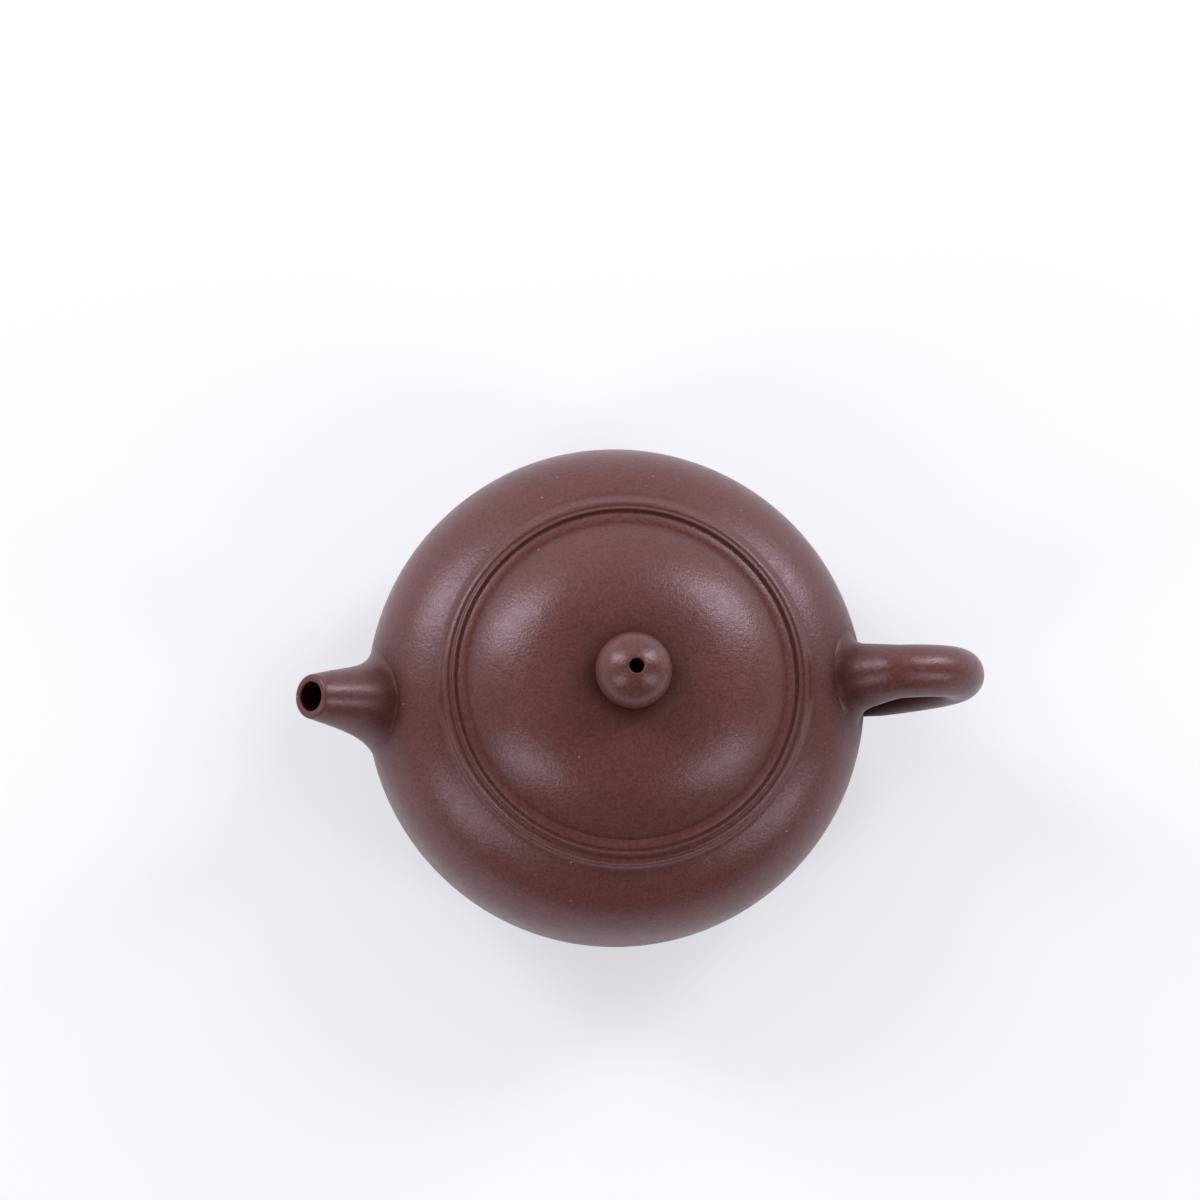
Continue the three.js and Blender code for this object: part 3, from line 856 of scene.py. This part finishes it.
# Corners: painted shade where nearby clay shuts a place in, with a darker colour and a duller, less
# shiny surface. How far off clay still shuts a place in, and how open a place is that counts as one
CORNER_REACH = 16.0
CORNER_FULL = 0.60
CORNER_NONE = 0.89
CORNER_SAMPLES = 6
# The dark colour painted into shut-in places as shade
CORNER_PAINTED_SHADE = (0.034, 0.0075, 0.0055, 1)
CORNER_ROUGHNESS = 0.8
CORNER_SPECULAR = 0.1
# How much of this painted shade the body's clay and the rim's clay get
BODY_PAINTED_SHADE = 1
RIM_PAINTED_SHADE = 0.3


def node(tree, kind, inputs=None, **settings):
    """Adds a node. Inputs are numbers, colours or the sockets they are linked from."""
    made = tree.nodes.new(kind)
    for name, value in settings.items():
        setattr(made, name, value)
    for name, value in (inputs or {}).items():
        socket = made.inputs[name]
        if isinstance(value, bpy.types.NodeSocket):
            tree.links.new(value, socket)
        else:
            socket.default_value = value
    return made


def per_metre(size):
    """Scale of a texture whose features have this size."""
    return 1 / (size * MM)


def noise_of(tree, place, size, detail, roughness=0.5):
    made = node(tree, "ShaderNodeTexNoise", {
        "Vector": place, "Scale": per_metre(size), "Detail": detail, "Roughness": roughness,
    })
    return made.outputs["Fac"]


def ranged(tree, value, from_low, from_high, to_low, to_high):
    """Carries a value over from one range to another, and holds it at the ends."""
    made = node(tree, "ShaderNodeMapRange", {
        "Value": value,
        "From Min": from_low,
        "From Max": from_high,
        "To Min": to_low,
        "To Max": to_high,
    })
    return made.outputs["Result"]


def from_noise(tree, value, to_low, to_high):
    """Spreads a noise, which seldom leaves the middle of its range, over another range."""
    return ranged(tree, value, NOISE_LOW, NOISE_HIGH, to_low, to_high)


def grey(tree, level):
    return node(tree, "ShaderNodeCombineColor", {
        "Red": level, "Green": level, "Blue": level,
    }).outputs["Color"]


def combined(tree, operation, first, second):
    return node(tree, "ShaderNodeMath", {0: first, 1: second}, operation=operation).outputs["Value"]


def mixed(tree, factor, first, second, blend="MIX"):
    """Mixes two colours. A factor of 0 gives the first."""
    made = node(tree, "ShaderNodeMix", data_type="RGBA", blend_type=blend)
    for index, value in zip(MIX_INPUTS, (factor, first, second)):
        if isinstance(value, bpy.types.NodeSocket):
            tree.links.new(value, made.inputs[index])
        else:
            made.inputs[index].default_value = value
    return made.outputs[MIX_RESULT]


def specks(tree, place, spacing, size, share):
    """A mask of round specks: their spacing, their radius, and the share of places that hold one."""
    cells = node(tree, "ShaderNodeTexVoronoi", {"Vector": place, "Scale": per_metre(spacing)})
    edge = size / spacing
    spot = ranged(tree, cells.outputs["Distance"], edge * SPECK_CORE, edge, 1, 0)
    lot = node(tree, "ShaderNodeSeparateColor", {"Color": cells.outputs["Color"]}).outputs["Red"]
    return combined(tree, "MULTIPLY", spot, combined(tree, "LESS_THAN", lot, share))


def bump(tree, height, depth, normal=None):
    inputs = {"Height": height, "Strength": 1.0, "Distance": depth * MM}
    if normal is not None:
        inputs["Normal"] = normal
    return node(tree, "ShaderNodeBump", inputs).outputs["Normal"]


def clay(name, deep, light, roughness, grain_depth, painted_shade_share):
    """Bare fired clay: a slow drift of tone, mottles, sand grain, pale and dark specks.

    Places shut in by nearby clay get painted shade: their colour goes darker and their surface duller,
    by the given share.
    """
    material = bpy.data.materials.new(name)
    material.use_nodes = True
    tree = material.node_tree
    tree.nodes.clear()
    place = node(tree, "ShaderNodeTexCoord").outputs["Object"]
    drift = noise_of(tree, place, DRIFT_SIZE, DRIFT_DETAIL)
    mottle = noise_of(tree, place, MOTTLE_SIZE, MOTTLE_DETAIL)
    grain = noise_of(tree, place, GRAIN_SIZE, GRAIN_DETAIL, GRAIN_ROUGHNESS)
    pale = specks(tree, place, PALE_SPACING, PALE_RADIUS, PALE_SHARE)
    dark = specks(tree, place, DARK_SPACING, DARK_RADIUS, DARK_SHARE)
    openness = node(
        tree, "ShaderNodeAmbientOcclusion", {"Distance": CORNER_REACH * MM}, samples=CORNER_SAMPLES,
    ).outputs["AO"]
    # Painted shade: how much dark colour and dullness a place gets, from how shut in it is
    corner = ranged(tree, openness, CORNER_FULL, CORNER_NONE, painted_shade_share, 0)

    tone = mixed(tree, from_noise(tree, drift, 0, 1), deep, light)
    tone = mixed(tree, from_noise(tree, mottle, 0, MOTTLE_SHARE), tone, light)
    shade_of_grain = grey(tree, from_noise(tree, grain, GRAIN_DARKEST, GRAIN_LIGHTEST))
    tone = mixed(tree, 1.0, tone, shade_of_grain, blend="MULTIPLY")
    # Painted shade in shut-in places
    tone = mixed(tree, corner, tone, CORNER_PAINTED_SHADE)
    tone = mixed(tree, dark, tone, DARK_SPECK)
    tone = mixed(tree, pale, tone, PALE_SPECK)

    skin = bump(tree, mottle, MOTTLE_DEPTH)
    skin = bump(tree, grain, grain_depth, skin)
    skin = bump(tree, pale, PALE_STAND, skin)

    gloss = from_noise(tree, mottle, roughness - MOTTLE_SMOOTHER, roughness + MOTTLE_ROUGHER)
    surface = node(tree, "ShaderNodeBsdfPrincipled", {
        "Base Color": tone,
        "Roughness": ranged(tree, corner, 0, 1, gloss, CORNER_ROUGHNESS),
        "Specular IOR Level": ranged(tree, corner, 0, 1, CLAY_SPECULAR, CORNER_SPECULAR),
        "Specular Tint": CLAY_SPECULAR_TINT,
        "Normal": skin,
    })
    output = node(tree, "ShaderNodeOutputMaterial")
    tree.links.new(surface.outputs["BSDF"], output.inputs["Surface"])
    return material


# Each clay gets painted shade in its shut-in places, by its share
BURNISHED = clay(
    "burnished_clay", BURNISHED_DEEP, BURNISHED_LIGHT, BURNISHED_ROUGHNESS, BURNISHED_GRAIN,
    BODY_PAINTED_SHADE,
)
# The same burnished clay, with less painted shade in its corners, for the mouth ring, lid plate and knob
BURNISHED_LESS_PAINTED_SHADE = clay(
    "burnished_clay_less_painted_shade", BURNISHED_DEEP, BURNISHED_LIGHT, BURNISHED_ROUGHNESS, BURNISHED_GRAIN,
    RIM_PAINTED_SHADE,
)
MATT = clay("matt_clay", MATT_DEEP, MATT_LIGHT, MATT_ROUGHNESS, MATT_GRAIN, BODY_PAINTED_SHADE)

# The pot
for name, skin in (
    ("base_disc", base_disc()),
    ("shoulder_disc", shoulder_disc()),
    ("spout", spout()),
    ("handle", handle()),
):
    finished(skin_object(name + "_clay", skin, [BURNISHED, MATT]), name, "pot")
finished(skin_object("mouth_ring_clay", mouth_ring(), [BURNISHED_LESS_PAINTED_SHADE]), "mouth_ring", "pot")
finished(pierced_wall([BURNISHED, MATT]), "body_wall", "pot")
finished(skin_object("foot_ring_clay", foot_ring(), [MATT]), "foot_ring", "pot")
finished(strainer(MATT), "strainer", "pot")

# The lid
for name, skin, outside in (
    ("lid_plate", lid_plate(), BURNISHED_LESS_PAINTED_SHADE),
    ("lid_dome", lid_dome(), BURNISHED),
    ("knob", knob(), BURNISHED_LESS_PAINTED_SHADE),
):
    finished(skin_object(name + "_clay", skin, [outside, MATT]), name, "lid")
finished(skin_object("lid_flange_clay", lid_flange(), [MATT]), "lid_flange", "lid")


# Floor, background and light. Sizes are in metres from here on

FLOOR_SIZE = 6.0
FLOOR_COLOUR = (0.83, 0.82, 0.88, 1)
FLOOR_GLOW = (0.97, 0.975, 1, 1)
FLOOR_GLOW_SHARE = 0.45

# The soft light all round, brightest low at the back. What a mirror sees is dark overhead in front
AMBIENT = 0.65
BRIGHT_WAY = (0, 0.35, -0.94)
AMBIENT_LOWEST = 0.4
AMBIENT_HIGHEST = 1.6
MIRROR_DARK_WAY = (0, -0.7, 0.71)
MIRROR_WHITE_TO = -0.2
MIRROR_DARK_FROM = 0.5
MIRROR_DARK_LEVEL = 0.03
WHITE = (1, 1, 1, 1)

# Long softboxes on both sides of the pot, behind it and in front of it
STRIP_LENGTH = 0.62
STRIP_WIDTH = 0.28
STRIP_REACH = 0.6
STRIP_HEIGHT = 0.55
STRIP_COLOUR = (0.97, 0.975, 1.0)
BACK_STRIP_PLACE = 0.50
BACK_STRIP_POWER = 5.2
FRONT_STRIP_PLACE = -0.42
FRONT_STRIP_POWER = 2.4


def light_path(tree, ray):
    """1 for rays of this kind and 0 for others."""
    return node(tree, "ShaderNodeLightPath").outputs[ray]


def looked_at(tree):
    """1 where the camera, a mirror or glass looks, and 0 for the light that falls on the pot."""
    looks = combined(
        tree, "MAXIMUM", light_path(tree, "Is Camera Ray"), light_path(tree, "Is Glossy Ray"),
    )
    return combined(tree, "MAXIMUM", looks, light_path(tree, "Is Transmission Ray"))


def floor():
    mesh = bpy.data.meshes.new("floor")
    half = FLOOR_SIZE / 2
    corners = [(-half, -half, 0), (half, -half, 0), (half, half, 0), (-half, half, 0)]
    mesh.from_pydata(corners, [], [(0, 1, 2, 3)])
    surface = bpy.data.objects.new("floor", mesh)
    bpy.context.collection.objects.link(surface)
    material = bpy.data.materials.new("pale_paper")
    material.use_nodes = True
    tree = material.node_tree
    tree.nodes.clear()
    paper = node(tree, "ShaderNodeBsdfDiffuse", {"Color": FLOOR_COLOUR})
    glow = node(tree, "ShaderNodeEmission", {"Color": FLOOR_GLOW, "Strength": 1.0})
    lift = combined(tree, "MULTIPLY", light_path(tree, "Is Camera Ray"), FLOOR_GLOW_SHARE)
    seen = node(tree, "ShaderNodeMixShader", {
        0: lift, 1: paper.outputs["BSDF"], 2: glow.outputs["Emission"],
    })
    output = node(tree, "ShaderNodeOutputMaterial")
    tree.links.new(seen.outputs["Shader"], output.inputs["Surface"])
    mesh.materials.append(material)


def towards(tree, way):
    """How far a ray of the background heads that way: 1 along it, -1 against it."""
    heading_of_ray = node(tree, "ShaderNodeTexCoord").outputs["Generated"]
    made = node(tree, "ShaderNodeVectorMath", {0: heading_of_ray, 1: way}, operation="DOT_PRODUCT")
    return made.outputs["Value"]


def background():
    world = bpy.data.worlds.new("studio")
    bpy.context.scene.world = world
    world.use_nodes = True
    tree = world.node_tree
    tree.nodes.clear()
    mirrored = grey(tree, ranged(
        tree, towards(tree, MIRROR_DARK_WAY), MIRROR_WHITE_TO, MIRROR_DARK_FROM, 1, MIRROR_DARK_LEVEL,
    ))
    falling = grey(tree, ranged(tree, towards(tree, BRIGHT_WAY), -1, 1, AMBIENT_LOWEST, AMBIENT_HIGHEST))
    shown = node(tree, "ShaderNodeBackground", {
        "Color": mixed(tree, light_path(tree, "Is Camera Ray"), mirrored, WHITE),
        "Strength": 1.0,
    })
    ambient = node(tree, "ShaderNodeBackground", {"Color": falling, "Strength": AMBIENT})
    seen = node(tree, "ShaderNodeMixShader", {
        0: looked_at(tree), 1: ambient.outputs["Background"], 2: shown.outputs["Background"],
    })
    output = node(tree, "ShaderNodeOutputWorld")
    tree.links.new(seen.outputs["Shader"], output.inputs["Surface"])


def strip(name, side, place, power):
    """A long softbox beside the pot, parallel to Y. Its place says how far back it stands."""
    lamp = bpy.data.lights.new(name, "AREA")
    lamp.shape = "RECTANGLE"
    lamp.size = STRIP_WIDTH
    lamp.size_y = STRIP_LENGTH
    lamp.energy = power
    lamp.color = STRIP_COLOUR
    box = bpy.data.objects.new(name, lamp)
    way = Vector((side * STRIP_REACH, 0, STRIP_HEIGHT))
    box.location = AXIS + way + Vector((0, place, 0))
    box.rotation_euler = (-way).to_track_quat("-Z", "Y").to_euler()
    bpy.context.collection.objects.link(box)


floor()
background()
for side_name, side in (("left", -1), ("right", 1)):
    strip(f"back_{side_name}_strip", side, BACK_STRIP_PLACE, BACK_STRIP_POWER)
    strip(f"front_{side_name}_strip", side, FRONT_STRIP_PLACE, FRONT_STRIP_POWER)

# Camera: high above the pot and a little in front of it. Its place and lens are in millimetres
CAMERA_PLACE = (-59.93, -79.77, 651.02)
CAMERA_FORWARD = (0.09128, 0.15257, -0.98407)
CAMERA_UP = (0.04094, 0.98678, 0.15679)
CAMERA_LENS = 108.0
CAMERA_SENSOR = 36.0
CAMERA_NEAREST = 0.01
CAMERA_FURTHEST = 50.0


def camera():
    lens = bpy.data.cameras.new("camera")
    lens.lens = CAMERA_LENS
    lens.sensor_width = CAMERA_SENSOR
    lens.clip_start = CAMERA_NEAREST
    lens.clip_end = CAMERA_FURTHEST
    eye = bpy.data.objects.new("camera", lens)
    forward = Vector(CAMERA_FORWARD).normalized()
    right = forward.cross(Vector(CAMERA_UP)).normalized()
    up = right.cross(forward)
    turn = Matrix((right, up, -forward)).transposed().to_4x4()
    eye.matrix_world = Matrix.Translation(Vector(CAMERA_PLACE) * MM + AXIS) @ turn
    bpy.context.collection.objects.link(eye)
    bpy.context.scene.camera = eye


camera()
bpy.context.scene.view_settings.view_transform = "Standard"
